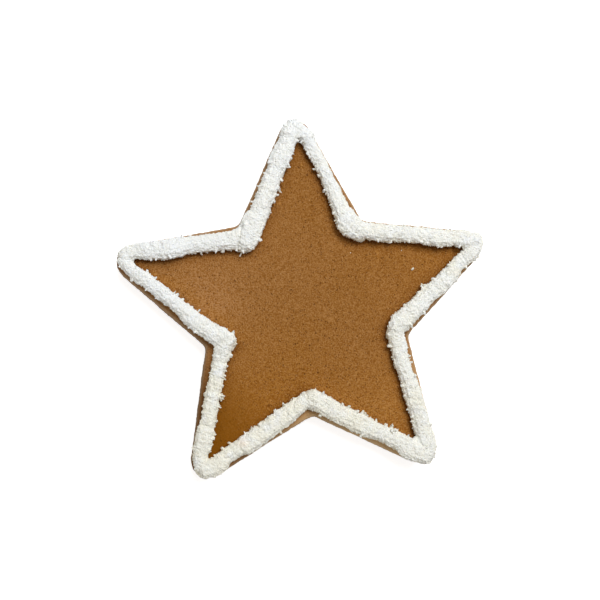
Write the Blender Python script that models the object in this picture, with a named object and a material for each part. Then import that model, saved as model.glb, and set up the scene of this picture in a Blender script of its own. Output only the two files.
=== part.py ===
"""Gingerbread star with a piped border of stiff white icing.

The star is a flat slab of baked gingerbread that lies on its underside. The
icing follows its rim in ten strokes, one along each side of the star, and each
stroke runs on into the next, so the border is one closed line. It has set with
a rough, crumbly crust.

Lengths are in metres and +Z is up. The origin is the middle of the underside,
and the first tip of the star points along +Y.
"""
import math
import random
from collections import namedtuple

import bmesh
import bpy
from mathutils import Matrix, Vector, noise

MM = 0.001

# Outline of the star. The two radii reach its sharp corners, before rounding.
TIP_COUNT = 5
TIP_RADIUS = 57.7 * MM
NOTCH_RADIUS = 28.5 * MM
TIP_ROUNDING = 4.6 * MM
NOTCH_ROUNDING = 2.5 * MM
CORNER_SEGMENTS = 8

# The baked slab
SLAB_THICKNESS = 7.0 * MM
TOP_EDGE_ROUNDING = 1.2 * MM
TOP_EDGE_SEGMENTS = 4
BASE_EDGE_ROUNDING = 0.4 * MM
BASE_EDGE_SEGMENTS = 2
FLAT_ANGLE = math.radians(1.0)

# The icing lies this far above the slab, so that the two solids stay apart.
CONTACT_GAP = 0.3 * MM
ICING_BASE = SLAB_THICKNESS + CONTACT_GAP

# Ten strokes of icing, clockwise from the top tip, in millimetres. An inset is
# the distance from the side of the star to the middle of the stroke: small at
# the tip, and larger at the notch, where the icing cuts the corner. Both the
# inset and the width change with the square of the way along.
Stroke = namedtuple("Stroke", "tip_inset notch_inset tip_width notch_width")
STROKES = (
    Stroke(2.5, 4.2, 3.4, 6.3),
    Stroke(3.2, 3.4, 4.7, 5.1),
    Stroke(2.4, 4.3, 4.5, 5.3),
    Stroke(2.9, 4.1, 4.4, 4.5),
    Stroke(3.2, 3.9, 4.8, 5.4),
    Stroke(2.6, 4.4, 4.9, 4.9),
    Stroke(2.7, 4.6, 4.3, 4.3),
    Stroke(2.9, 3.6, 3.7, 5.7),
    Stroke(2.8, 4.1, 4.4, 5.2),
    Stroke(3.2, 3.9, 5.3, 5.3),
)

# Where a stroke swells or slims on one side: the stroke, the shares of its
# length from its tip between which it does so, the side, and by how many
# millimetres. On the outer side it swells over the edge of the gingerbread.
INNER, OUTER = 1, -1
Swell = namedtuple("Swell", "stroke first last side growth")
SWELLS = (
    Swell(0, 0.00, 0.10, OUTER, 0.6),
    Swell(0, 0.10, 0.42, OUTER, 0.35),
    Swell(0, 0.45, 0.60, INNER, -0.3),
    Swell(0, 0.64, 0.82, OUTER, -0.3),
    Swell(0, 0.94, 1.00, INNER, -0.6),
    Swell(0, 0.94, 1.00, OUTER, 0.4),
    Swell(1, 0.00, 0.10, OUTER, 0.4),
    Swell(1, 0.00, 1.00, OUTER, 0.15),
    Swell(1, 0.12, 0.20, INNER, -0.2),
    Swell(1, 0.28, 0.33, INNER, 0.2),
    Swell(1, 0.46, 0.68, INNER, -0.3),
    Swell(1, 0.90, 1.00, INNER, -0.4),
    Swell(2, 0.00, 0.10, INNER, -0.2),
    Swell(2, 0.00, 0.08, OUTER, 0.6),
    Swell(2, 0.19, 0.24, OUTER, -0.4),
    Swell(2, 0.32, 0.50, OUTER, 0.3),
    Swell(2, 0.70, 0.92, OUTER, 0.4),
    Swell(3, 0.00, 0.20, INNER, 0.2),
    Swell(3, 0.00, 0.10, OUTER, 0.4),
    Swell(3, 0.00, 0.50, OUTER, 0.35),
    Swell(3, 0.57, 0.62, INNER, -0.3),
    Swell(3, 0.64, 0.74, OUTER, -0.3),
    Swell(3, 0.74, 0.79, INNER, 0.3),
    Swell(3, 0.88, 1.00, OUTER, 0.5),
    Swell(4, 0.00, 0.14, OUTER, 0.9),
    Swell(4, 0.12, 1.00, OUTER, 0.25),
    Swell(4, 0.34, 0.40, OUTER, -0.3),
    Swell(4, 0.34, 0.44, INNER, -0.2),
    Swell(4, 0.51, 0.64, OUTER, 0.5),
    Swell(4, 0.62, 0.82, INNER, -0.25),
    Swell(4, 0.72, 0.82, OUTER, 0.35),
    Swell(4, 0.94, 1.00, OUTER, -0.3),
    Swell(5, 0.00, 0.10, INNER, -0.5),
    Swell(5, 0.00, 0.10, OUTER, 0.5),
    Swell(5, 0.20, 0.30, OUTER, -0.4),
    Swell(5, 0.38, 0.60, OUTER, 0.3),
    Swell(5, 0.62, 0.80, INNER, 0.25),
    Swell(5, 0.67, 0.77, OUTER, 0.3),
    Swell(5, 0.94, 1.00, OUTER, -0.4),
    Swell(6, 0.00, 0.10, INNER, -0.7),
    Swell(6, 0.00, 0.26, OUTER, 0.6),
    Swell(6, 0.89, 0.94, INNER, 0.5),
    Swell(7, 0.00, 0.10, INNER, -0.5),
    Swell(7, 0.00, 0.18, OUTER, 0.5),
    Swell(7, 0.46, 0.58, OUTER, -0.3),
    Swell(7, 0.67, 0.77, OUTER, 0.4),
    Swell(7, 0.94, 1.00, INNER, 0.4),
    Swell(7, 0.94, 1.00, OUTER, -0.5),
    Swell(8, 0.00, 0.10, INNER, -0.9),
    Swell(8, 0.00, 0.44, OUTER, 0.4),
    Swell(8, 0.32, 0.43, INNER, 0.8),
    Swell(8, 0.92, 1.00, INNER, 0.1),
    Swell(8, 0.95, 1.00, OUTER, 0.5),
    Swell(9, 0.00, 0.10, INNER, -0.4),
    Swell(9, 0.00, 0.05, OUTER, 0.8),
    Swell(9, 0.26, 0.30, OUTER, 0.5),
    Swell(9, 0.40, 0.50, INNER, -0.25),
    Swell(9, 0.84, 1.00, OUTER, 1.0),
    Swell(9, 0.93, 1.00, INNER, 0.3),
)
SWELL_RAMP = 0.07

# Where the middle of the icing turns, from the star's centre: round each tip,
# and at the notch that follows it
TIP_TURNS = (48.4 * MM, 49.3 * MM, 49.0 * MM, 49.1 * MM, 49.2 * MM)
NOTCH_TURNS = (24.1 * MM, 24.2 * MM, 24.3 * MM, 24.1 * MM, 24.3 * MM)

# Strokes that run on past their notch, to lie over the start of the next one
OVERRUNS = {7: 1.3 * MM, 9: 1.2 * MM}

# Cross-section of a stroke one unit wide: an oval that its base cuts off flat
OVAL_HALF_WIDTH = 0.5
OVAL_HALF_HEIGHT = 0.34
OVAL_CENTRE_HEIGHT = 0.255
OVAL_POINTS = 9

# Where a stroke is wide its top settles: above the knee it keeps this share
SETTLING_KNEE = 2.7 * MM
SETTLING_SHARE = 0.5

# Spacing of the cross-sections, and the rounding of a stroke's two ends
STATION_SPACING = 1.15 * MM
END_STATIONS = 4
END_RADIUS_FLOOR = 0.25

# Ridges across a stroke, and the lumps of its crust
RIDGE_PITCH = 2.4 * MM
RIDGE_DEPTH = 0.03
UNEVEN_LENGTH = 9.0 * MM
UNEVEN_DEPTH = 0.07
LUMP_SIZE = 1.3 * MM
LUMP_HEIGHT = 0.34 * MM
WANDER_LENGTH = 7.0 * MM
WANDER_WIDTH = 0.22 * MM
WANDER_SEED = 1

# Blunt flakes that stand out of both flanks of the crust, fewer on the outer one
FLAKES_PER_STROKE = 12
OUTER_FLAKE_SHARE = 0.3
FLAKE_LENGTHS = (0.9 * MM, 1.3 * MM)
FLAKE_WIDTH_SHARES = (1.1, 1.6)
FLAKE_FLATNESS = 0.7
FLAKE_TAPER = 0.45
FLAKE_SIDES = 5
FLAKE_ROOT = 0.5
FLAKE_TILT = 0.5
FLAKE_ANGLES = (math.radians(-5.0), math.radians(35.0))
FLAKE_SEED = 8

# The longest flakes, which lean over the bare gingerbread on either side: the
# stroke that each stands on, the share of the stroke's length from its tip,
# the side it points to and its length in millimetres
Prong = namedtuple("Prong", "stroke share side length")
PRONGS = (
    Prong(0, 0.58, INNER, 1.3),
    Prong(2, 0.59, INNER, 2.1),
    Prong(2, 0.88, OUTER, 1.3),
    Prong(3, 0.26, INNER, 1.2),
    Prong(3, 0.47, INNER, 1.4),
    Prong(4, 0.33, INNER, 1.8),
    Prong(4, 0.59, INNER, 1.8),
    Prong(5, 0.41, INNER, 1.4),
    Prong(6, 0.57, INNER, 1.9),
    Prong(7, 0.28, OUTER, 1.3),
    Prong(7, 0.46, INNER, 1.3),
    Prong(7, 0.69, INNER, 1.5),
    Prong(7, 1.00, INNER, 2.0),
    Prong(8, 0.24, INNER, 1.4),
    Prong(8, 0.91, INNER, 3.6),
    Prong(9, 0.20, INNER, 1.1),
    Prong(9, 0.33, INNER, 1.7),
    Prong(9, 0.44, OUTER, 1.2),
    Prong(9, 0.56, OUTER, 1.3),
    Prong(9, 0.57, INNER, 1.7),
    Prong(9, 0.70, OUTER, 1.3),
)
PRONG_ANGLE = math.radians(12.0)
PRONG_WIDTH_SHARE = 0.85
PRONG_WIDTH_LIMIT = 1.5 * MM

WELD_DISTANCE = 0.005 * MM

# Colour, roughness and metallic value of each finish
GINGERBREAD_FINISH = ((0.278, 0.129, 0.037, 1.0), 0.85, 0.0)
ICING_FINISH = ((0.86, 0.86, 0.83, 1.0), 0.75, 0.0)


def clear_scene():
    for item in list(bpy.data.objects):
        bpy.data.objects.remove(item, do_unlink=True)


def new_collection(name):
    collection = bpy.data.collections.new(name)
    bpy.context.scene.collection.children.link(collection)
    return collection


def add_object(name, data, collection):
    item = bpy.data.objects.new(name, data)
    collection.objects.link(item)
    return item


def make_material(name, finish):
    colour, roughness, metallic = finish
    material = bpy.data.materials.new(name)
    material.use_nodes = True
    shader = material.node_tree.nodes["Principled BSDF"]
    shader.inputs["Base Color"].default_value = colour
    shader.inputs["Roughness"].default_value = roughness
    shader.inputs["Metallic"].default_value = metallic
    material.diffuse_color = colour
    return material


def evaluated_mesh(item):
    """The mesh that an object's modifiers or curve settings give, welded."""
    depsgraph = bpy.context.evaluated_depsgraph_get()
    mesh = bpy.data.meshes.new_from_object(item.evaluated_get(depsgraph))
    model = bmesh.new()
    model.from_mesh(mesh)
    bmesh.ops.remove_doubles(model, verts=model.verts, dist=WELD_DISTANCE)
    bmesh.ops.recalc_face_normals(model, faces=model.faces)
    model.to_mesh(mesh)
    model.free()
    return mesh


def polyline_spline(curve, points, cyclic):
    spline = curve.splines.new('POLY')
    spline.points.add(len(points) - 1)
    for knot, place in zip(spline.points, points):
        knot.co = (place.x, place.y, place.z, 1.0)
    spline.use_cyclic_u = cyclic
    return spline


# The star's outline

def polar(radius, angle):
    return Vector((radius * math.cos(angle), radius * math.sin(angle), 0.0))


def corner_angle(index):
    """Direction of a corner; even corners are tips, clockwise from +Y."""
    return math.pi / 2 - index * math.pi / TIP_COUNT


def star_corners():
    corners = []
    for index in range(2 * TIP_COUNT):
        radius = NOTCH_RADIUS if index % 2 else TIP_RADIUS
        corners.append(polar(radius, corner_angle(index)))
    return corners


def rounded_outline(corners):
    """The outline with each corner replaced by an arc."""
    outline = []
    for index, corner in enumerate(corners):
        radius = NOTCH_ROUNDING if index % 2 else TIP_ROUNDING
        to_last = (corners[index - 1] - corner).normalized()
        to_next = (corners[(index + 1) % len(corners)] - corner).normalized()
        half_angle = to_last.angle(to_next) / 2
        inward = (to_last + to_next).normalized()
        centre = corner + inward * radius / math.sin(half_angle)
        setback = radius / math.tan(half_angle)
        first_spoke = (corner + to_last * setback - centre).normalized()
        last_spoke = (corner + to_next * setback - centre).normalized()
        for step in range(CORNER_SEGMENTS + 1):
            spoke = first_spoke.slerp(last_spoke, step / CORNER_SEGMENTS)
            outline.append(centre + spoke * radius)
    return outline


# The gingerbread slab

def round_rim(model, height, rounding, segments):
    """Round the edge where the face at this height meets the side wall."""
    rim = []
    for edge in model.edges:
        level = all(abs(vert.co.z - height) < WELD_DISTANCE for vert in edge.verts)
        if level and edge.calc_face_angle() > FLAT_ANGLE:
            rim.append(edge)
    bmesh.ops.bevel(model, geom=rim, offset=rounding, segments=segments,
                    profile=0.5, affect='EDGES', clamp_overlap=True)


def make_slab(name, collection, scratch):
    curve = bpy.data.curves.new(name + "_outline", 'CURVE')
    curve.dimensions = '2D'
    curve.fill_mode = 'BOTH'
    curve.extrude = SLAB_THICKNESS / 2
    polyline_spline(curve, rounded_outline(star_corners()), cyclic=True)
    outline = add_object(name + "_outline", curve, scratch)

    mesh = evaluated_mesh(outline)
    bpy.data.objects.remove(outline)
    mesh.name = name
    mesh.transform(Matrix.Translation((0.0, 0.0, SLAB_THICKNESS / 2)))

    model = bmesh.new()
    model.from_mesh(mesh)
    bmesh.ops.dissolve_limit(model, angle_limit=FLAT_ANGLE, verts=model.verts,
                             edges=model.edges)
    round_rim(model, SLAB_THICKNESS, TOP_EDGE_ROUNDING, TOP_EDGE_SEGMENTS)
    round_rim(model, 0.0, BASE_EDGE_ROUNDING, BASE_EDGE_SEGMENTS)
    bmesh.ops.triangulate(model, faces=model.faces)
    model.to_mesh(mesh)
    model.free()

    slab = add_object(name, mesh, collection)
    mesh.materials.append(make_material(name, GINGERBREAD_FINISH))
    mesh.shade_smooth()
    mesh.set_sharp_from_angle(angle=math.radians(30.0))
    return slab


# The icing

def lerp(first, last, share):
    return first + (last - first) * share


def stroke_ends(index):
    """The tip and the notch that a stroke joins, as corners of the star."""
    after = (index + 1) % (2 * TIP_COUNT)
    return (index, after) if index % 2 == 0 else (after, index)


def growth(index, share, side):
    """How much wider a stroke is on one side, at a share of its length."""
    total = 0.0
    for swell in SWELLS:
        if swell.stroke == index and swell.side == side:
            outside = max(swell.first - share, share - swell.last, 0.0)
            ramp = max(0.0, 1.0 - outside / SWELL_RAMP)
            total += swell.growth * MM * ramp * ramp * (3.0 - 2.0 * ramp)
    return total


def stroke_path(index):
    """The middle of a stroke and its widths, from its tip to its notch."""
    corners = star_corners()
    tip, notch = stroke_ends(index)
    stroke = STROKES[index]
    side = corners[notch] - corners[tip]
    inward = Vector((-side.y, side.x, 0.0)).normalized()
    if inward.dot(corners[tip]) > 0.0:
        inward.negate()
    overrun = side.normalized() * OVERRUNS.get(index, 0.0)
    start = polar(TIP_TURNS[tip // 2], corner_angle(tip))
    end = polar(NOTCH_TURNS[notch // 2], corner_angle(notch)) + overrun
    count = round((end - start).length / STATION_SPACING)
    first_share = (start - corners[tip]).dot(side) / side.length_squared
    last_share = (end - corners[tip]).dot(side) / side.length_squared
    path = []
    widths = []
    for step in range(count + 1):
        share = lerp(first_share, last_share, step / count)
        inset = lerp(stroke.tip_inset, stroke.notch_inset, share ** 2) * MM
        place = corners[tip] + side * share + inward * inset
        path.append(place)
        way = step / count
        widths.append(lerp(stroke.tip_width, stroke.notch_width, way ** 2) * MM)
    # The stations next to the tip and the notch ease over to the two turns
    drift_in = start - path[0]
    drift_out = end - path[-1]
    for step in range(count + 1):
        near_start = max(0.0, 1.0 - step / END_STATIONS) ** 2
        near_end = max(0.0, 1.0 - (count - step) / END_STATIONS) ** 2
        path[step] += drift_in * near_start + drift_out * near_end
        inner = growth(index, step / count, INNER)
        outer = growth(index, step / count, OUTER)
        path[step] += inward * (inner - outer) / 2
        widths[step] += inner + outer
    return path, widths


def oval_profile(scratch):
    """The cross-section that is swept along every stroke."""
    foot = math.asin(OVAL_CENTRE_HEIGHT / OVAL_HALF_HEIGHT)
    points = []
    for step in range(OVAL_POINTS):
        angle = lerp(-foot, math.pi + foot, step / (OVAL_POINTS - 1))
        height = OVAL_CENTRE_HEIGHT + OVAL_HALF_HEIGHT * math.sin(angle)
        points.append(Vector((OVAL_HALF_WIDTH * math.cos(angle), height, 0.0)))
    curve = bpy.data.curves.new("stroke_profile", 'CURVE')
    curve.dimensions = '2D'
    curve.fill_mode = 'NONE'
    polyline_spline(curve, points, cyclic=True)
    return add_object("stroke_profile", curve, scratch)


def end_rounding(distance, width):
    """Share of the full width at this distance from a stroke's round end."""
    reach = min(1.0, distance / (width / 2))
    return max(END_RADIUS_FLOOR, math.sqrt(1.0 - (1.0 - reach) ** 2))


def make_stroke(index, profile, scratch):
    path, widths = stroke_path(index)
    name = "stroke_%d" % index
    # The rounded ends reach half a width past the first and last stations.
    out_start = (path[0] - path[1]).normalized()
    out_end = (path[-1] - path[-2]).normalized()
    half_start = widths[0] / 2
    half_end = widths[-1] / 2
    reach = [step / END_STATIONS for step in range(END_STATIONS, 0, -1)]
    lead = [path[0] + out_start * half_start * share for share in reach]
    trail = [path[-1] + out_end * half_end * share for share in reversed(reach)]
    stations = lead + path + trail
    widths = [widths[0]] * END_STATIONS + widths + [widths[-1]] * END_STATIONS

    curve = bpy.data.curves.new(name, 'CURVE')
    curve.dimensions = '3D'
    curve.twist_mode = 'Z_UP'
    curve.fill_mode = 'FULL'
    curve.bevel_mode = 'OBJECT'
    curve.bevel_object = profile
    curve.use_fill_caps = True
    spline = polyline_spline(curve, stations, cyclic=False)
    travelled = 0.0
    total = sum((b - a).length for a, b in zip(stations, stations[1:]))
    phase = index * 1.7
    for order, knot in enumerate(spline.points):
        if order:
            travelled += (stations[order] - stations[order - 1]).length
        ridge = math.sin(2 * math.pi * travelled / RIDGE_PITCH + phase)
        uneven = noise.noise(Vector((travelled / UNEVEN_LENGTH, index * 3.1, 0.0)))
        rough = 1.0 + RIDGE_DEPTH * ridge + UNEVEN_DEPTH * uneven
        ends = min(end_rounding(travelled, half_start * 2),
                   end_rounding(total - travelled, half_end * 2))
        knot.radius = widths[order] * rough * ends
    line = add_object(name, curve, scratch)
    mesh = evaluated_mesh(line)
    bpy.data.objects.remove(line)
    settle(mesh)
    mesh.transform(Matrix.Translation((0.0, 0.0, ICING_BASE)))
    roughen(mesh)
    return add_object(name, mesh, scratch)


def settle(mesh):
    """Lower the top of a stroke where it stands higher than the knee."""
    for vert in mesh.vertices:
        excess = max(0.0, vert.co.z - SETTLING_KNEE)
        vert.co.z -= excess * (1.0 - SETTLING_SHARE)


def roughen(mesh):
    """Push the crust in and out in lumps, and leave its flat base alone."""
    model = bmesh.new()
    model.from_mesh(mesh)
    model.normal_update()
    moves = []
    for vert in model.verts:
        wander = noise.noise_vector(vert.co / WANDER_LENGTH) * WANDER_WIDTH
        lump = noise.noise(vert.co / LUMP_SIZE) * LUMP_HEIGHT
        move = vert.normal * lump + wander
        move.z = move.z if vert.co.z > ICING_BASE + WELD_DISTANCE else 0.0
        moves.append(move)
    for vert, move in zip(model.verts, moves):
        vert.co += move
        vert.co.z = max(vert.co.z, ICING_BASE)
    bmesh.ops.triangulate(model, faces=model.faces)
    model.to_mesh(mesh)
    model.free()


def stroke_frame(index, share):
    """Middle of a stroke at a share of its length, inward direction, width."""
    path, widths = stroke_path(index)
    way = share * (len(path) - 1)
    order = min(len(path) - 2, int(way))
    middle = path[order].lerp(path[order + 1], way - order)
    along = path[order + 1] - path[order]
    inward = Vector((-along.y, along.x, 0.0)).normalized()
    if inward.dot(middle) > 0.0:
        inward.negate()
    return middle, inward, widths[order]


def oval_surface(index, share, angle):
    """A point on a stroke's surface and its normal; angle 0 is the inner flank."""
    middle, inward, width = stroke_frame(index, share)
    rise = OVAL_CENTRE_HEIGHT + OVAL_HALF_HEIGHT * math.sin(angle)
    across = OVAL_HALF_WIDTH * math.cos(angle)
    place = middle + inward * across * width
    place.z = ICING_BASE + rise * width
    normal = inward * math.cos(angle) / OVAL_HALF_WIDTH
    normal.z = math.sin(angle) / OVAL_HALF_HEIGHT
    return place, normal.normalized()


def make_flake(place, direction, length, width, twist, scratch):
    """A blunt, tapering flake, rooted in the icing."""
    model = bmesh.new()
    bmesh.ops.create_cone(model, cap_ends=True, segments=FLAKE_SIDES,
                          radius1=width / 2, radius2=width / 2 * FLAKE_TAPER,
                          depth=length)
    mesh = bpy.data.meshes.new("flake")
    model.to_mesh(mesh)
    model.free()
    turn = direction.to_track_quat('Z', 'Y').to_matrix().to_4x4()
    flatten = Matrix.Diagonal((1.0, FLAKE_FLATNESS, 1.0, 1.0))
    lift = Matrix.Translation(direction * length * (0.5 - FLAKE_ROOT))
    spin = Matrix.Rotation(twist, 4, 'Z')
    mesh.transform(Matrix.Translation(place) @ lift @ turn @ spin @ flatten)
    return add_object("flake", mesh, scratch)


def make_prongs(draw, scratch):
    for prong in PRONGS:
        angle = PRONG_ANGLE if prong.side == INNER else math.pi - PRONG_ANGLE
        place, normal = oval_surface(prong.stroke, prong.share, angle)
        length = prong.length * MM
        width = min(length * PRONG_WIDTH_SHARE, PRONG_WIDTH_LIMIT)
        twist = draw.uniform(0.0, math.pi)
        make_flake(place, normal, length, width, twist, scratch)


def make_flakes(draw, scratch):
    """Short flakes along both flanks, spread evenly along each stroke."""
    for index in range(len(STROKES)):
        for order in range(FLAKES_PER_STROKE):
            share = (order + draw.uniform(0.2, 0.8)) / FLAKES_PER_STROKE
            angle = draw.uniform(*FLAKE_ANGLES)
            if draw.random() < OUTER_FLAKE_SHARE:
                angle = math.pi - angle
            place, normal = oval_surface(index, share, angle)
            tilt = Vector([draw.uniform(-FLAKE_TILT, FLAKE_TILT) for axis in range(3)])
            length = draw.uniform(*FLAKE_LENGTHS)
            width = length * draw.uniform(*FLAKE_WIDTH_SHARES)
            twist = draw.uniform(0.0, math.pi)
            make_flake(place, (normal + tilt).normalized(), length, width, twist,
                       scratch)


def make_icing(name, collection, scratch):
    """Lay the ten strokes and their flakes, and join them into one solid."""
    noise.seed_set(WANDER_SEED)
    profile = oval_profile(scratch)
    first = make_stroke(0, profile, collection)
    joined = new_collection("icing_strokes")
    for index in range(1, len(STROKES)):
        make_stroke(index, profile, joined)
    draw = random.Random(FLAKE_SEED)
    make_prongs(draw, joined)
    make_flakes(draw, joined)

    union = first.modifiers.new("join", 'BOOLEAN')
    union.operation = 'UNION'
    union.operand_type = 'COLLECTION'
    union.collection = joined
    union.solver = 'EXACT'
    mesh = evaluated_mesh(first)
    for item in [first, profile] + list(joined.objects):
        bpy.data.objects.remove(item)
    bpy.data.collections.remove(joined)

    mesh.name = name
    mesh.materials.clear()
    mesh.materials.append(make_material(name, ICING_FINISH))
    return add_object(name, mesh, collection)


def main():
    clear_scene()
    star = new_collection("gingerbread_star")
    scratch = new_collection("guides")
    make_slab("gingerbread", star, scratch)
    make_icing("icing", star, scratch)


main()
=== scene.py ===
"""A gingerbread star with a piped border of rough white icing.

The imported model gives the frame: a baked slab and the icing that lies on it.
This script dresses both, adds the loose grit of the icing's crust, and sets up
a pale floor, soft studio light and a camera that looks down on the star.
Lengths are in metres.
"""
import math

import bpy
import numpy as np
from mathutils import Matrix, Vector
from mathutils.bvhtree import BVHTree


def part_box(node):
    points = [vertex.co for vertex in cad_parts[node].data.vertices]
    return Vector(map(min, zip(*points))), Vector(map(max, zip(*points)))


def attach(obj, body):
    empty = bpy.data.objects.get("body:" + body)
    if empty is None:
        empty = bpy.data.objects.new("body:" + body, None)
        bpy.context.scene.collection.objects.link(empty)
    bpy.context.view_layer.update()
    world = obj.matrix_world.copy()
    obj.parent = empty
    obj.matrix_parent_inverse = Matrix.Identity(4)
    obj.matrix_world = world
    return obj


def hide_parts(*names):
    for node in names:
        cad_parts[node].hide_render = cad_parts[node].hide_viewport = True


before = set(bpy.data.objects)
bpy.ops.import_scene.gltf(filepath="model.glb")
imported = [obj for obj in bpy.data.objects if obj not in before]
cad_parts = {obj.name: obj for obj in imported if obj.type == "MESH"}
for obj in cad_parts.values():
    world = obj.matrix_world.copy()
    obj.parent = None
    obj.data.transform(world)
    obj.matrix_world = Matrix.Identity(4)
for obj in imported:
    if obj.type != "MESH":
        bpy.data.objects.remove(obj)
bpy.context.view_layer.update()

MM = 0.001


# ---------------------------------------------------------------- gingerbread
# Rolled dough, cut out with a star cutter and baked flat on a tray. Its top is
# dry and fine-grained with small pores, its cut sides are crumbly, and its
# underside is flat and a little darker. It carries the icing.

TIP_COUNT = 5
TIP_RADIUS = 57.7 * MM
NOTCH_RADIUS = 28.5 * MM
GINGERBREAD_VOXEL = 0.37 * MM
BASE_ZONE = 0.5 * MM
TOP_ZONE = 6.2 * MM


def select_only(piece):
    bpy.ops.object.select_all(action='DESELECT')
    piece.select_set(True)
    bpy.context.view_layer.objects.active = piece


def merged_copy(node, name):
    """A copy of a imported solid, its loose triangles merged into one skin."""
    piece = bpy.data.objects.new(name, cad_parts[node].data.copy())
    bpy.context.scene.collection.objects.link(piece)
    piece.data.materials.clear()
    select_only(piece)
    bpy.ops.object.mode_set(mode='EDIT')
    bpy.ops.mesh.select_all(action='SELECT')
    bpy.ops.mesh.remove_doubles(threshold=0.005 * MM)
    bpy.ops.object.mode_set(mode='OBJECT')
    return piece


def apply_modifier(piece, kind, **settings):
    select_only(piece)
    modifier = piece.modifiers.new(kind.lower(), kind)
    for name, value in settings.items():
        setattr(modifier, name, value)
    bpy.ops.object.modifier_apply(modifier=modifier.name)


def relief(piece, kind, size, height, zone="", **settings):
    """Push a skin in and out, in a pattern of this size and height."""
    texture = bpy.data.textures.new(piece.name + "_relief", kind)
    texture.noise_scale = size
    for name, value in settings.items():
        setattr(texture, name, value)
    apply_modifier(piece, 'DISPLACE', texture=texture, texture_coords='LOCAL',
                   strength=height, mid_level=0.5, vertex_group=zone)


def points_of(piece):
    """The places of a piece's vertices, as rows of x, y and z."""
    places = np.empty(len(piece.data.vertices) * 3)
    piece.data.vertices.foreach_get("co", places)
    return places.reshape(-1, 3)


def move_points(piece, places):
    piece.data.vertices.foreach_set("co", places.ravel())
    piece.data.update()


def mark_zone(piece, name, inside):
    zone = piece.vertex_groups.new(name=name)
    zone.add(np.flatnonzero(inside).tolist(), 1.0, 'REPLACE')


def nearest_sides(places):
    """The nearest of the star's ten straight sides to each point.

    It gives how far the side lies, which it is, and the share of it from its tip.
    """
    turns = math.pi / 2 - np.arange(2 * TIP_COUNT) * math.pi / TIP_COUNT
    radii = np.where(np.arange(2 * TIP_COUNT) % 2, NOTCH_RADIUS, TIP_RADIUS)
    corners = np.stack([radii * np.cos(turns), radii * np.sin(turns)], axis=1)
    distance = np.full(len(places), np.inf)
    which = np.zeros(len(places), dtype=int)
    share = np.zeros(len(places))
    for index in range(2 * TIP_COUNT):
        tip, notch = (index, index + 1) if index % 2 == 0 else (index + 1, index)
        tip_place = corners[tip % (2 * TIP_COUNT)]
        side = corners[notch % (2 * TIP_COUNT)] - tip_place
        away = places[:, :2] - tip_place
        along = np.clip(away @ side / (side @ side), 0.0, 1.0)
        length = np.linalg.norm(away - along[:, None] * side, axis=1)
        closer = length < distance
        distance[closer] = length[closer]
        which[closer] = index
        share[closer] = along[closer]
    return distance, which, share


def distance_to_solid(node, places):
    """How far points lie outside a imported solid, and 0 inside it."""
    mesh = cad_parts[node].data
    corners = [vert.co.copy() for vert in mesh.vertices]
    faces = [tuple(face.vertices) for face in mesh.polygons]
    solid = BVHTree.FromPolygons(corners, faces)
    distances = []
    for place in places:
        nearest, normal, index, distance = solid.find_nearest(place)
        outside = (Vector(place) - nearest).dot(normal) > 0.0
        distances.append(distance if outside else 0.0)
    return np.array(distances)


def keep_values(piece, name, values):
    """Store a number for each vertex, which a material can read by this name."""
    store = piece.data.attributes.new(name, 'FLOAT', 'POINT')
    store.data.foreach_set("value", values)


gingerbread = merged_copy("gingerbread", "gingerbread_star")
apply_modifier(gingerbread, 'REMESH', mode='VOXEL', voxel_size=GINGERBREAD_VOXEL)
heights = points_of(gingerbread)[:, 2]
mark_zone(gingerbread, "above_tray", heights > BASE_ZONE)
mark_zone(gingerbread, "cut_side", (heights > BASE_ZONE) & (heights < TOP_ZONE))
relief(gingerbread, 'CLOUDS', 9.0 * MM, 0.30 * MM, "above_tray", noise_depth=2)
relief(gingerbread, 'CLOUDS', 1.5 * MM, 0.35 * MM, "cut_side", noise_depth=3)
relief(gingerbread, 'CLOUDS', 0.8 * MM, 0.07 * MM, "above_tray", noise_depth=2)
relief(gingerbread, 'VORONOI', 0.9 * MM, -0.20 * MM, "cut_side")
keep_values(gingerbread, "edge_distance", nearest_sides(points_of(gingerbread))[0])
icing_distance = distance_to_solid("icing", points_of(gingerbread))
keep_values(gingerbread, "icing_distance", icing_distance)
# Painted light and shade next to the icing: the crust is painted dark where the icing shades
# it from the lamp
# at the upper right, and painted paler, as light thrown back from the icing, where it faces
# that lamp
TOWARD_KEY_LAMP = np.array([0.59, 0.81, 0.0]) * MM
toward_lamp_gain = distance_to_solid("icing", points_of(gingerbread) + TOWARD_KEY_LAMP) - icing_distance
keep_values(gingerbread, "lamp_facing", toward_lamp_gain / MM)
select_only(gingerbread)
bpy.ops.object.shade_smooth()


def new_material(name):
    """A material with its node tree and its Principled shader."""
    material = bpy.data.materials.new(name)
    material.use_nodes = True
    tree = material.node_tree
    return material, tree, tree.nodes["Principled BSDF"]


def add_node(tree, kind, inputs=(), **settings):
    """A node with its settings; inputs maps sockets to values or to sockets."""
    node = tree.nodes.new(kind)
    for name, value in settings.items():
        setattr(node, name, value)
    for socket, value in dict(inputs).items():
        if isinstance(value, bpy.types.NodeSocket):
            tree.links.new(value, node.inputs[socket])
        else:
            node.inputs[socket].default_value = value
    return node


def start_group(name, vectors, numbers):
    """A node group with these inputs and one output, a mask from 0 to 1."""
    group = bpy.data.node_groups.new(name, 'ShaderNodeTree')
    for socket in vectors:
        group.interface.new_socket(socket, in_out='INPUT', socket_type='NodeSocketVector')
    for socket in numbers:
        group.interface.new_socket(socket, in_out='INPUT', socket_type='NodeSocketFloat')
    group.interface.new_socket("Mask", in_out='OUTPUT', socket_type='NodeSocketFloat')
    return group, group.nodes.new('NodeGroupInput').outputs


def end_group(group, mask):
    group.links.new(mask, group.nodes.new('NodeGroupOutput').inputs["Mask"])


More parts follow.
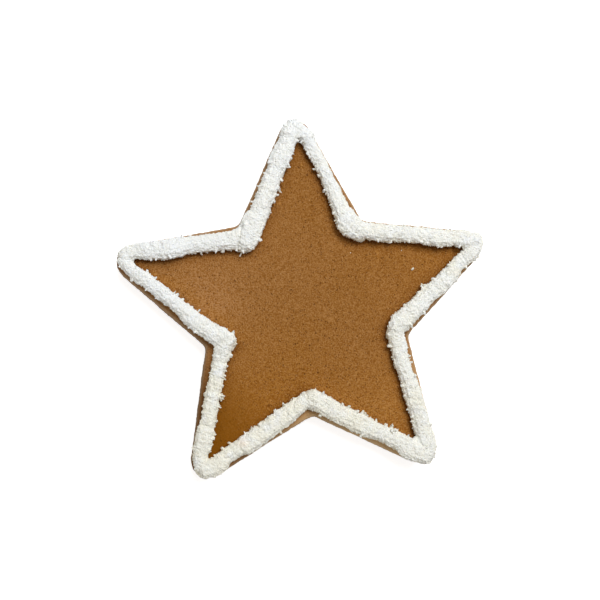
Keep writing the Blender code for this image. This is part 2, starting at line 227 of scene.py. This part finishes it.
# Cloudy patches, for the grain of the crust and of the icing
cloudy_patches, given = start_group("cloudy_patches", ["Place"],
                                    ["Scale", "Detail", "Low", "High"])
cloud = add_node(cloudy_patches, 'ShaderNodeTexNoise',
                 {"Vector": given["Place"], "Scale": given["Scale"],
                  "Detail": given["Detail"]})
spread = add_node(cloudy_patches, 'ShaderNodeMapRange',
                  {"Value": cloud.outputs[0], "From Min": given["Low"],
                   "From Max": given["High"]})
end_group(cloudy_patches, spread.outputs[0])

# A soft round spot, for a tone that the crust or the icing has in one place
soft_spot, given = start_group("soft_spot", ["Place", "Centre"], ["Reach"])
away = add_node(soft_spot, 'ShaderNodeVectorMath', {0: given["Place"], 1: given["Centre"]},
                operation='DISTANCE')
fade = add_node(soft_spot, 'ShaderNodeMapRange',
                {"Value": away.outputs["Value"], "From Min": given["Reach"],
                 "From Max": 0.0}, interpolation_type='SMOOTHSTEP')
end_group(soft_spot, fade.outputs[0])


def noise_mask(tree, place, size, detail=2.0, low=0.35, high=0.65):
    """Cloudy patches of this size, from 0 to 1."""
    patches = add_node(tree, 'ShaderNodeGroup',
                       {"Place": place, "Scale": 1.0 / size, "Detail": detail,
                        "Low": low, "High": high}, node_tree=cloudy_patches)
    return patches.outputs["Mask"]


def near_mask(tree, place, centre, reach):
    """1 at a point and fading to 0 at this distance from it."""
    spot = add_node(tree, 'ShaderNodeGroup',
                    {"Place": place, "Centre": centre, "Reach": reach},
                    node_tree=soft_spot)
    return spot.outputs["Mask"]


def dot_mask(tree, place, spacing, radius, share):
    """Round dots on a jittered grid; share is how many of the cells have one."""
    cells = add_node(tree, 'ShaderNodeTexVoronoi', {"Vector": place, "Scale": 1.0 / spacing})
    dots = add_node(tree, 'ShaderNodeMapRange',
                    {"Value": cells.outputs["Distance"],
                     "From Min": radius / spacing, "From Max": 0.5 * radius / spacing})
    picked = add_node(tree, 'ShaderNodeSeparateColor', {"Color": cells.outputs["Color"]})
    kept = add_node(tree, 'ShaderNodeMath', {0: picked.outputs[0], 1: share},
                    operation='LESS_THAN')
    mask = add_node(tree, 'ShaderNodeMath', {0: dots.outputs[0], 1: kept.outputs[0]},
                    operation='MULTIPLY')
    return mask.outputs[0]


def mixed(tree, mask, first, second, amount=1.0, blend='MIX'):
    """The first colour, with the second laid over it where the mask is 1."""
    share = add_node(tree, 'ShaderNodeMath', {0: mask, 1: amount}, operation='MULTIPLY')
    mix = add_node(tree, 'ShaderNodeMix', {0: share.outputs[0], 6: first, 7: second},
                   data_type='RGBA', blend_type=blend)
    return mix.outputs[2]


def ramp_mask(tree, value, empty, full):
    """0 where the value is at the first limit, and 1 where it is at the second."""
    fade = add_node(tree, 'ShaderNodeMapRange',
                    {"Value": value, "From Min": empty, "From Max": full},
                    interpolation_type='SMOOTHSTEP')
    return fade.outputs[0]


def masked(tree, first, second):
    """The share that two masks have in common."""
    both = add_node(tree, 'ShaderNodeMath', {0: first, 1: second}, operation='MULTIPLY')
    return both.outputs[0]


def summed(tree, first, second, weight):
    """The first value, and the second added to it with a weight."""
    total = add_node(tree, 'ShaderNodeMath', {0: second, 1: weight, 2: first},
                     operation='MULTIPLY_ADD')
    return total.outputs[0]


def stored(tree, name):
    """A number that keep_values has stored on the piece."""
    return add_node(tree, 'ShaderNodeAttribute', attribute_name=name).outputs["Fac"]


CRUST_BROWN = (0.339, 0.152, 0.0365, 1.0)
PALE_CRUST = (0.405, 0.196, 0.069, 1.0)
FLOURY_CRUST = (0.480, 0.240, 0.096, 1.0)
GOLDEN_CRUST = (0.388, 0.160, 0.0190, 1.0)
BRIGHT_CRUST_AND_BOUNCE = (0.440, 0.200, 0.045, 1.0)
AMBER_CRUST = (0.270, 0.095, 0.0035, 1.0)
DEEP_CRUST_AND_SHADOW = (0.190, 0.064, 0.0015, 1.0)
CONTACT_SHADOW_BROWN = (0.150, 0.045, 0.003, 1.0)
GRAIN_SHADE = (0.68, 0.55, 0.25, 1.0)
GRAIN_LIGHT = (0.60, 0.32, 0.13, 1.0)
PORE_BROWN = (0.075, 0.020, 0.003, 1.0)
SPECK_TAN = (0.75, 0.46, 0.22, 1.0)
FLOURY_EDGE = (0.60, 0.47, 0.31, 1.0)
CRUMBLY_SIDE = (0.36, 0.20, 0.090, 1.0)
PAINTED_BOUNCE_TAN = (0.78, 0.54, 0.29, 1.0)
PAINTED_RIM_SHADE = (0.55, 0.50, 0.45, 1.0)
TRAY_BROWN = (0.17, 0.070, 0.022, 1.0)

# Where the oven gave the crust another tone: centre, reach, colour and amount
CRUST_TONES = (((-0.028, 0.008, 0.007), 0.036, PALE_CRUST, 0.75),
               ((-0.027, 0.001, 0.007), 0.014, FLOURY_CRUST, 0.6),
               ((0.045, 0.012, 0.007), 0.045, GOLDEN_CRUST, 0.4),
               ((-0.010, -0.034, 0.007), 0.040, GOLDEN_CRUST, 0.7),
               ((0.022, -0.030, 0.007), 0.022, BRIGHT_CRUST_AND_BOUNCE, 0.8))
# The same for the lower left arm, which baked darkest, over its grain and pores
ARM_TONES = (((-0.028, -0.038, 0.007), 0.028, AMBER_CRUST, 0.85),
             ((-0.032, -0.031, 0.007), 0.022, DEEP_CRUST_AND_SHADOW, 0.85))
# The top edge of the slab rounds over from this height up
RIM_BOTTOM = 4.6 * MM
RIM_TOP = 6.0 * MM

material, tree, shader = new_material("baked_gingerbread")
place = add_node(tree, 'ShaderNodeTexCoord').outputs["Object"]
colour = mixed(tree, noise_mask(tree, place, 12.0 * MM), CRUST_BROWN, PALE_CRUST, 0.2)
for centre, reach, tone, amount in CRUST_TONES:
    colour = mixed(tree, near_mask(tree, place, centre, reach), colour, tone, amount)

from_edge = stored(tree, "edge_distance")
from_icing = stored(tree, "icing_distance")
lamp_facing = stored(tree, "lamp_facing")
# Painted shadow and painted light next to the icing: where the icing shades the crust from
# the upper-right lamp, the crust is painted dark as a long cast shadow with a darker line at
# the icing's foot, and where it faces the lamp it is painted brighter, as light thrown back
# from the lit icing
inside = ramp_mask(tree, from_edge, 3.0 * MM, 4.5 * MM)
lamp_shadow_zone = masked(tree, inside, ramp_mask(tree, lamp_facing, 0.9, 0.4))
bounce_lit_zone = masked(tree, inside, ramp_mask(tree, lamp_facing, 0.5, 0.9))
# Zone, far and near distance from the icing, colour and amount
for zone, far, near, tone, amount in ((lamp_shadow_zone, 3.6 * MM, 0.5 * MM, DEEP_CRUST_AND_SHADOW, 0.38),
                                      (lamp_shadow_zone, 1.4 * MM, 0.5 * MM, CONTACT_SHADOW_BROWN, 0.6),
                                      (bounce_lit_zone, 5.0 * MM, 1.0 * MM, BRIGHT_CRUST_AND_BOUNCE, 0.6)):
    painted_near_icing = masked(tree, zone, ramp_mask(tree, from_icing, far, near))
    colour = mixed(tree, painted_near_icing, colour, tone, amount)

grain = noise_mask(tree, place, 0.55 * MM, detail=3.0, low=0.38, high=0.64)
colour = mixed(tree, grain, colour, GRAIN_SHADE, 0.36, 'MULTIPLY')
fine_grain = noise_mask(tree, place, 0.31 * MM, detail=0.0, low=0.44, high=0.58)
colour = mixed(tree, fine_grain, colour, GRAIN_SHADE, 0.85, 'MULTIPLY')
flecks = noise_mask(tree, place, 0.34 * MM, detail=1.0, low=0.50, high=0.66)
colour = mixed(tree, flecks, colour, GRAIN_LIGHT, 0.25)
pores = dot_mask(tree, place, 0.60 * MM, 0.18 * MM, 0.45)
colour = mixed(tree, pores, colour, PORE_BROWN, 0.85)
pits = dot_mask(tree, place, 1.9 * MM, 0.27 * MM, 0.35)
colour = mixed(tree, pits, colour, PORE_BROWN, 0.75)
specks = dot_mask(tree, place, 1.3 * MM, 0.18 * MM, 0.15)
colour = mixed(tree, specks, colour, SPECK_TAN, 0.4)
for centre, reach, tone, amount in ARM_TONES:
    colour = mixed(tree, near_mask(tree, place, centre, reach), colour, tone, amount)

height_above_tray = add_node(tree, 'ShaderNodeSeparateXYZ', {0: place}).outputs[2]
rim = ramp_mask(tree, height_above_tray, RIM_BOTTOM, RIM_TOP)
side = masked(tree, rim, ramp_mask(tree, from_edge, 2.6 * MM, 1.0 * MM))
colour = mixed(tree, side, colour, CRUMBLY_SIDE, 0.4)
floury = masked(tree, rim, ramp_mask(tree, from_edge, 0.9 * MM, 0.0))
colour = mixed(tree, floury, colour, FLOURY_EDGE, 0.5)
# Painted shade: the rim of the left arm, which lies in the icing's shadow, is painted darker
shaded_left_rim = masked(tree, side, near_mask(tree, place, (-0.036, -0.024, 0.004), 0.030))
colour = mixed(tree, shaded_left_rim, colour, PAINTED_RIM_SHADE, 1.0, 'MULTIPLY')
# Painted light: the rim along the lower sides is painted paler, as light thrown up on it from
# the pale floor
bounce_lit_lower_rim = masked(tree, side, near_mask(tree, place, (0.014, -0.038, 0.004), 0.036))
colour = mixed(tree, bounce_lit_lower_rim, colour, PAINTED_BOUNCE_TAN, 0.8)
cut_side = ramp_mask(tree, height_above_tray, RIM_TOP, RIM_BOTTOM)
colour = mixed(tree, cut_side, colour, CRUMBLY_SIDE, 0.45)
flour = noise_mask(tree, place, 1.6 * MM, detail=4.0, low=0.50, high=0.75)
colour = mixed(tree, masked(tree, cut_side, flour), colour, FLOURY_EDGE, 0.4)
colour = mixed(tree, ramp_mask(tree, height_above_tray, 1.6 * MM, 0.2 * MM), colour,
               TRAY_BROWN, 0.6)

tree.links.new(colour, shader.inputs["Base Color"])
dimples = summed(tree, grain, flecks, -0.6)
dimples = summed(tree, dimples, pores, 2.0)
dimples = summed(tree, dimples, pits, 4.0)
bump = add_node(tree, 'ShaderNodeBump', {"Height": dimples, "Strength": 0.6,
                                         "Distance": 0.08 * MM}, invert=True)
tree.links.new(bump.outputs[0], shader.inputs["Normal"])
shader.inputs["Roughness"].default_value = 0.75
shader.inputs["Specular IOR Level"].default_value = 0.06
gingerbread.data.materials.append(material)

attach(gingerbread, "root")
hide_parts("gingerbread")


# --------------------------------------------------------------- icing border
# Stiff sugar icing, squeezed from a plain piping tip in one line along each
# side of the star, and dried to a rough, crumbly crust. It is laid in five
# lengths, one round each tip, that run into each other in the notches.

ICING_VOXEL = 0.13 * MM


def cut_away(piece, normal):
    """Cut a piece by a plane through the star's centre, and fill the cut.

    The edges of the cut are marked sharp, so that no seam shows in the crust.
    Known fault: the operator's own threshold of 0.1 mm is almost a voxel wide, so
    the filled cut keeps some open and doubled edges. threshold=0.001 * MM closes it.
    """
    select_only(piece)
    bpy.ops.object.mode_set(mode='EDIT')
    bpy.ops.mesh.select_all(action='SELECT')
    bpy.ops.mesh.bisect(plane_co=(0.0, 0.0, 0.0), plane_no=normal, use_fill=True,
                        clear_outer=True)
    bpy.ops.mesh.mark_sharp()
    bpy.ops.object.mode_set(mode='OBJECT')


def normals_of(piece):
    normals = np.empty(len(piece.data.vertices) * 3)
    piece.data.vertex_normals.foreach_get("vector", normals)
    return normals.reshape(-1, 3)


# How deep the folds across a stroke are; strokes count clockwise from the top
FOLD_DEPTHS = {2: 0.05 * MM, 3: 0.06 * MM, 5: 0.08 * MM, 6: 0.13 * MM}
FOLD_PITCH = 1.25 * MM
FOLD_LEAN = 0.25


def fold(piece):
    """Narrow folds across some strokes, where the icing bunched up as it left the tip.

    They come at uneven steps and lean a little.
    """
    places = points_of(piece)
    distance, which, share = nearest_sides(places)
    side_length = math.dist((TIP_RADIUS, 0.0), (NOTCH_RADIUS * math.cos(math.pi / TIP_COUNT),
                                                NOTCH_RADIUS * math.sin(math.pi / TIP_COUNT)))
    steps = (share * side_length + FOLD_LEAN * distance) / FOLD_PITCH
    steps += 0.35 * np.sin(1.9 * steps + which) + 0.2 * np.sin(4.1 * steps)
    crease = (1.0 - np.abs(np.sin(math.pi * steps))) ** 2
    depth = np.array([FOLD_DEPTHS.get(index, 0.0) for index in range(2 * TIP_COUNT)])[which]
    depth *= np.clip((places[:, 2] - foot_height) / MM, 0.0, 1.0)
    move_points(piece, places - normals_of(piece) * (crease * depth)[:, None])


def press_seam(piece, start, end, width, depth):
    """A narrow groove along a line, where one stroke was laid against another."""
    places = points_of(piece)
    start = np.array(start)
    along = np.array(end) - start
    away = places[:, :2] - start
    share = np.clip(away @ along / (along @ along), 0.0, 1.0)
    distance = np.linalg.norm(away - share[:, None] * along, axis=1)
    groove = depth * np.exp(-(distance / width) ** 2)
    move_points(piece, places - normals_of(piece) * groove[:, None])


def push(piece, centre, shift, radius):
    """A soft sideways push of the icing round one place, as the piping tip gave it."""
    places = points_of(piece)
    distance = np.linalg.norm(places[:, :2] - np.array(centre), axis=1)
    places[:, :2] += np.exp(-(distance / radius) ** 2)[:, None] * np.array(shift)
    move_points(piece, places)


def set_down(piece, gap, reach):
    """Draw the foot of the icing down on to the crust, where it sticks."""
    places = points_of(piece)
    share = 1.0 - (places[:, 2] - foot_height) / reach
    places[:, 2] -= gap * np.clip(share, 0.0, 1.0)
    move_points(piece, places)


# Where the line swells or draws in at a notch: centre, shift and radius
PUSHES = (((0.0107, 0.0207), (-0.00058, -0.00080), 2.0 * MM),
          ((0.0140, 0.0172), (0.00030, 0.00041), 1.8 * MM),
          ((0.0230, -0.0038), (-0.00038, 0.00012), 1.8 * MM),
          ((0.0211, -0.0063), (0.00048, -0.00015), 1.8 * MM),
          ((-0.0175, 0.0164), (0.00030, -0.00041), 1.5 * MM))
CRUST_FOOT = 0.3 * MM
foot_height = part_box("icing")[0].z

border = merged_copy("icing", "icing_border")
apply_modifier(border, 'REMESH', mode='VOXEL', voxel_size=ICING_VOXEL)
mark_zone(border, "crust", points_of(border)[:, 2] > foot_height + CRUST_FOOT)
fold(border)
for centre, shift, radius in PUSHES:
    push(border, centre, shift, radius)
press_seam(border, (-0.0160, 0.0230), (-0.0175, 0.0160), width=0.30 * MM, depth=0.45 * MM)
relief(border, 'CLOUDS', 1.3 * MM, 0.36 * MM, "crust", noise_depth=3, noise_type='HARD_NOISE')
relief(border, 'VORONOI', 0.50 * MM, -0.24 * MM, "crust")
relief(border, 'CLOUDS', 0.30 * MM, 0.19 * MM, "crust", noise_depth=1)
set_down(border, gap=0.34 * MM, reach=0.28 * MM)
select_only(border)
bpy.ops.object.shade_smooth()

ICING_WHITE = (0.915, 0.915, 0.872, 1.0)
ICING_GREY = (0.80, 0.81, 0.77, 1.0)
CREAM_TONE_AND_SHADE = (0.88, 0.84, 0.68, 1.0)
ICING_PEACH = (0.92, 0.82, 0.70, 1.0)
HOLLOW_SHADE_CREAM = (0.68, 0.66, 0.56, 1.0)
ICING_COOL = (0.905, 0.93, 0.945, 1.0)
# Heights over which the lower flanks of the icing are painted cream, as warm shade
SHADED_FLANK_HEIGHTS = (9.6 * MM, 8.2 * MM)

# Where the icing is tinted warmer or cooler: centre, reach, colour and amount
ICING_TONES = (((-0.008, -0.040, 0.009), 0.055, CREAM_TONE_AND_SHADE, 0.45),
               ((-0.004, 0.052, 0.009), 0.035, ICING_COOL, 0.6),
               ((-0.036, 0.012, 0.009), 0.034, ICING_COOL, 0.7),
               ((-0.0188, -0.0335, 0.010), 0.0028, ICING_PEACH, 0.8))

dried_icing, tree, shader = new_material("dried_icing")
place = add_node(tree, 'ShaderNodeTexCoord').outputs["Object"]
patches = noise_mask(tree, place, 0.9 * MM, detail=3.0, low=0.45, high=0.7)
colour = mixed(tree, patches, ICING_WHITE, ICING_GREY, 0.4)
# Painted shade: the crevices of the icing's crust are painted a darker cream
hollow_shade = add_node(tree, 'ShaderNodeNewGeometry').outputs["Pointiness"]
colour = mixed(tree, ramp_mask(tree, hollow_shade, 0.50, 0.44), colour, HOLLOW_SHADE_CREAM, 0.6)
height = add_node(tree, 'ShaderNodeSeparateXYZ', {0: place}).outputs[2]
# Painted shade: the lower flanks of the line, turned away from the lamps above, are painted a
# warm cream
colour = mixed(tree, ramp_mask(tree, height, *SHADED_FLANK_HEIGHTS), colour, CREAM_TONE_AND_SHADE, 0.8)
creamy = noise_mask(tree, place, 6.0 * MM, detail=2.0, low=0.45, high=0.7)
colour = mixed(tree, creamy, colour, CREAM_TONE_AND_SHADE, 0.35)
for centre, reach, tone, amount in ICING_TONES:
    colour = mixed(tree, near_mask(tree, place, centre, reach), colour, tone, amount)
cool = noise_mask(tree, place, 3.5 * MM, detail=2.0, low=0.5, high=0.7)
colour = mixed(tree, cool, colour, ICING_COOL, 0.5)
tree.links.new(colour, shader.inputs["Base Color"])
crystals = noise_mask(tree, place, 0.22 * MM, detail=2.0, low=0.3, high=0.7)
bump = add_node(tree, 'ShaderNodeBump', {"Height": crystals, "Strength": 0.7,
                                         "Distance": 0.07 * MM})
tree.links.new(bump.outputs[0], shader.inputs["Normal"])
shader.inputs["Roughness"].default_value = 0.6
shader.inputs["Specular IOR Level"].default_value = 0.4
shader.inputs["Subsurface Weight"].default_value = 0.15
shader.inputs["Subsurface Radius"].default_value = (1.0, 0.9, 0.75)
shader.inputs["Subsurface Scale"].default_value = 0.4 * MM

for tip in range(TIP_COUNT):
    angle = math.pi / 2 - tip * 2 * math.pi / TIP_COUNT
    length = border.copy()
    length.data = border.data.copy()
    length.name = "icing_round_tip_%d" % (tip + 1)
    bpy.context.scene.collection.objects.link(length)
    for turn in (1, -1):
        notch = angle + turn * math.pi / TIP_COUNT
        across = notch + turn * math.pi / 2
        cut_away(length, (math.cos(across), math.sin(across), 0.0))
    length.data.materials.append(dried_icing)
    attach(length, "root")
    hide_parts("icing")


# ----------------------------------------------------------------- icing grit
# Grains and splinters of dried icing that cling to the crust. They are as
# coarse as sugar, and the largest stand out along both edges of the line.

def surface_draws(piece, count, lowest, steepest, source):
    """Random points on a skin above a height, with their outward normals."""
    mesh = piece.data
    total = len(mesh.polygons)
    areas = np.empty(total)
    centres = np.empty(total * 3)
    normals = np.empty(total * 3)
    mesh.polygons.foreach_get("area", areas)
    mesh.polygons.foreach_get("center", centres)
    mesh.polygons.foreach_get("normal", normals)
    centres = centres.reshape(-1, 3)
    normals = normals.reshape(-1, 3)
    areas[(centres[:, 2] < lowest) | (normals[:, 2] > steepest)] = 0.0
    picks = source.choice(total, size=count, p=areas / areas.sum())
    return centres[picks], normals[picks]


def random_turns(count, source):
    """Rotation matrices from random unit quaternions."""
    q = source.normal(size=(count, 4))
    q /= np.linalg.norm(q, axis=1, keepdims=True)
    w, x, y, z = q.T
    rows = [1 - 2 * (y * y + z * z), 2 * (x * y - w * z), 2 * (x * z + w * y),
            2 * (x * y + w * z), 1 - 2 * (x * x + z * z), 2 * (y * z - w * x),
            2 * (x * z - w * y), 2 * (y * z + w * x), 1 - 2 * (x * x + y * y)]
    return np.stack(rows, axis=1).reshape(count, 3, 3)


# How far a grain's corners reach and how wide it is, as shares of its size
CORNER_REACH = (0.65, 1.25)
GRAIN_WIDTH = (0.45, 1.1)


def scatter_grains(name, places, sizes, source, along=None, stretch=1.0):
    """One mesh of small angular grains, each an uneven, flattened icosahedron.

    Where along gives their directions, the grains are stretched that way.
    """
    bpy.ops.object.select_all(action='DESELECT')
    bpy.ops.mesh.primitive_ico_sphere_add(subdivisions=1, radius=1.0)
    pattern = bpy.context.object
    corners = points_of(pattern)
    faces = np.array([list(face.vertices) for face in pattern.data.polygons])
    bpy.data.objects.remove(pattern)

    count = len(places)
    uneven = source.uniform(*CORNER_REACH, size=(count, len(corners), 1))
    flatten = source.uniform(*GRAIN_WIDTH, size=(count, 1, 3))
    shapes = corners[None] * uneven * flatten * sizes[:, None, None]
    shapes = np.einsum('nij,nkj->nki', random_turns(count, source), shapes)
    if along is not None:
        reach = np.einsum('nkj,nj->nk', shapes, along)
        shapes += along[:, None] * reach[:, :, None] * (stretch - 1.0)
    shapes += places[:, None]
    all_faces = faces[None] + (np.arange(count) * len(corners))[:, None, None]

    mesh = bpy.data.meshes.new(name)
    mesh.from_pydata(shapes.reshape(-1, 3).tolist(), [],
                     all_faces.reshape(-1, 3).tolist())
    grains = bpy.data.objects.new(name, mesh)
    bpy.context.scene.collection.objects.link(grains)
    return grains


def stick_on(name, count, smallest, largest, stretch=1.0, steepest=1.0):
    """Scatter grains over the border, and let them stand a little out of it.

    steepest is the most that the skin's normal may rise where a grain sticks.
    Below 1 the grains are teeth: they keep to the flanks and lean sideways, and
    each stroke keeps its own share of them.
    """
    places, normals = surface_draws(border, count, foot_height + CRUST_FOOT, steepest, source)
    if steepest < 1.0:
        kept = source.random(count) < RAGGEDNESS[nearest_sides(places)[1]]
        places, normals = places[kept], normals[kept]
        count = len(places)
    sizes = smallest + (largest - smallest) * source.random(count) ** 2
    lean = normals + source.normal(scale=LEAN_SCATTER, size=normals.shape)
    if steepest < 1.0:
        lean[:, 2] *= TOOTH_LIFT
    lean /= np.linalg.norm(lean, axis=1, keepdims=True)
    rise = sizes[:, None] * source.uniform(0.0, MOST_RISE, size=(count, 1)) * stretch
    grains = scatter_grains(name, places + lean * rise, sizes, source, lean, stretch)
    grains.data.materials.append(dried_icing)
    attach(grains, "root")


LEAN_SCATTER = 0.5
TOOTH_LIFT = 0.4
MOST_RISE = 0.5
# The share of the teeth that each stroke keeps, clockwise from the top
RAGGEDNESS = np.array([0.8, 1.0, 0.5, 0.9, 0.5, 0.4, 0.5, 0.25, 0.35, 0.5])
source = np.random.default_rng(11)
stick_on("icing_grit", 7000, 0.09 * MM, 0.18 * MM)
stick_on("icing_crumbs", 800, 0.18 * MM, 0.32 * MM)
stick_on("icing_splinters", 2500, 0.08 * MM, 0.14 * MM, stretch=2.0)
stick_on("icing_teeth", 2600, 0.13 * MM, 0.32 * MM, stretch=1.4, steepest=0.45)
bpy.data.objects.remove(border)

# Large flakes that stand out of the line: tip x, y, root x, y and half width, in mm
LARGE_FLAKES = ((31.45, 4.65, 32.00, 3.20, 0.95), (13.05, -28.15, 13.35, -29.50, 0.90),
                (20.20, -32.40, 20.10, -33.70, 0.45), (-23.00, -22.20, -24.20, -22.10, 1.05),
                (6.30, 30.85, 7.60, 31.45, 0.30), (-16.90, 14.40, -15.90, 16.20, 0.36),
                (-5.00, 31.30, -6.10, 31.90, 0.60), (-2.45, 38.10, -3.60, 38.70, 0.50))
GRAINS_PER_FLAKE = 40
FLAKE_HEIGHT = 8.6
FLAKE_DROOP = 0.3
FLAKE_TAPER = 0.8
SMALLEST_GRAIN = 0.16

# Each flake is a heap of grains that narrows and droops from its root to its tip
flake_places = []
flake_sizes = []
for tip_x, tip_y, root_x, root_y, half_width in LARGE_FLAKES:
    for out in np.linspace(0.0, 1.0, GRAINS_PER_FLAKE):
        half = half_width * (1.0 - FLAKE_TAPER * out)
        offset = source.uniform(-0.8, 0.8, size=3) * half
        flake_places.append((root_x + (tip_x - root_x) * out + offset[0],
                             root_y + (tip_y - root_y) * out + offset[1],
                             FLAKE_HEIGHT - FLAKE_DROOP * out + 0.6 * offset[2]))
        flake_sizes.append(max(0.45 * half, SMALLEST_GRAIN))
flakes = scatter_grains("icing_flakes", np.array(flake_places) * MM,
                        np.array(flake_sizes) * MM, source)
flakes.data.materials.append(dried_icing)
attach(flakes, "root")


# ---------------------------------------------------------------- loose crumbs
# Three crumbs of dried icing that broke off the border, dropped on the bare
# gingerbread and stuck there.

# x, y and radius, in mm; each has sunk a little way into the crust
LOOSE_CRUMBS = ((29.5, 8.95, 0.52), (26.9, 14.2, 0.26), (12.9, 14.2, 0.22))
CRUST_HEIGHT = 7.0
crumb_places = np.array([(x, y, CRUST_HEIGHT + r * 0.6) for x, y, r in LOOSE_CRUMBS]) * MM
crumb_sizes = np.array([r for x, y, r in LOOSE_CRUMBS]) * MM
loose = scatter_grains("loose_crumbs", crumb_places, crumb_sizes, source)
loose.data.materials.append(dried_icing)
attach(loose, "root")


# --------------------------------------------------- floor, light and camera
# A plain pale floor, soft studio light from above, and a camera that looks
# almost straight down on the star, as in the photograph.

FLOOR_SIZE = 3.0
FLOOR_DROP = 0.02 * MM
FLOOR_GLOW = 0.80
STAR_CENTRE = (0.0, 0.0, 0.0)
KEY_PLACE = (0.247, 0.340, 0.727)
FILL_PLACE = (-0.540, -0.540, 0.250)

bpy.ops.object.select_all(action='DESELECT')
bpy.ops.mesh.primitive_plane_add(size=FLOOR_SIZE, location=(0.0, 0.0, -FLOOR_DROP))
floor = bpy.context.object
floor.name = "floor"
material, tree, shader = new_material("pale_floor")
shader.inputs["Base Color"].default_value = (0.75, 0.75, 0.75, 1.0)
shader.inputs["Roughness"].default_value = 0.9
shader.inputs["Emission Color"].default_value = (1.0, 1.0, 1.0, 1.0)
seen = add_node(tree, 'ShaderNodeLightPath').outputs["Is Camera Ray"]
glow = add_node(tree, 'ShaderNodeMath', {0: seen, 1: FLOOR_GLOW}, operation='MULTIPLY')
tree.links.new(glow.outputs[0], shader.inputs["Emission Strength"])
floor.data.materials.append(material)

world = bpy.data.worlds.new("studio")
bpy.context.scene.world = world
world.use_nodes = True
sky = world.node_tree.nodes["Background"]
sky.inputs["Color"].default_value = (1.0, 0.93, 0.84, 1.0)
sky.inputs["Strength"].default_value = 0.23


def add_softbox(name, place, size, power, colour):
    """A square lamp that faces the star."""
    bpy.ops.object.select_all(action='DESELECT')
    bpy.ops.object.light_add(type='AREA', location=place)
    lamp = bpy.context.object
    lamp.name = name
    lamp.data.size = size
    lamp.data.energy = power
    lamp.data.color = colour
    facing = Vector(STAR_CENTRE) - Vector(place)
    lamp.rotation_euler = facing.to_track_quat('-Z', 'Y').to_euler()


add_softbox("key_softbox", KEY_PLACE, size=0.5, power=6.7, colour=(0.96, 0.98, 1.0))
add_softbox("fill_softbox", FILL_PLACE, size=0.6, power=0.8, colour=(1.0, 0.94, 0.86))

CAMERA_PLACE = Vector((-20.80, -18.98, 206.0)) * MM
CAMERA_TARGET = Vector((-0.88, 2.85, 0.0)) * MM
CAMERA_ROLL = math.radians(3.52)
CAMERA_LENS = 45.25

forward = (CAMERA_TARGET - CAMERA_PLACE).normalized()
page_up = Vector((math.sin(CAMERA_ROLL), math.cos(CAMERA_ROLL), 0.0))
right = forward.cross(page_up).normalized()
up = right.cross(forward)
bpy.ops.object.camera_add()
camera = bpy.context.object
camera.data.lens = CAMERA_LENS
camera.data.sensor_width = 36.0
camera.data.clip_start = 0.005
camera.matrix_world = Matrix((
    (right.x, up.x, -forward.x, CAMERA_PLACE.x),
    (right.y, up.y, -forward.y, CAMERA_PLACE.y),
    (right.z, up.z, -forward.z, CAMERA_PLACE.z),
    (0.0, 0.0, 0.0, 1.0)))
bpy.context.scene.camera = camera
bpy.context.scene.view_settings.view_transform = 'Standard'
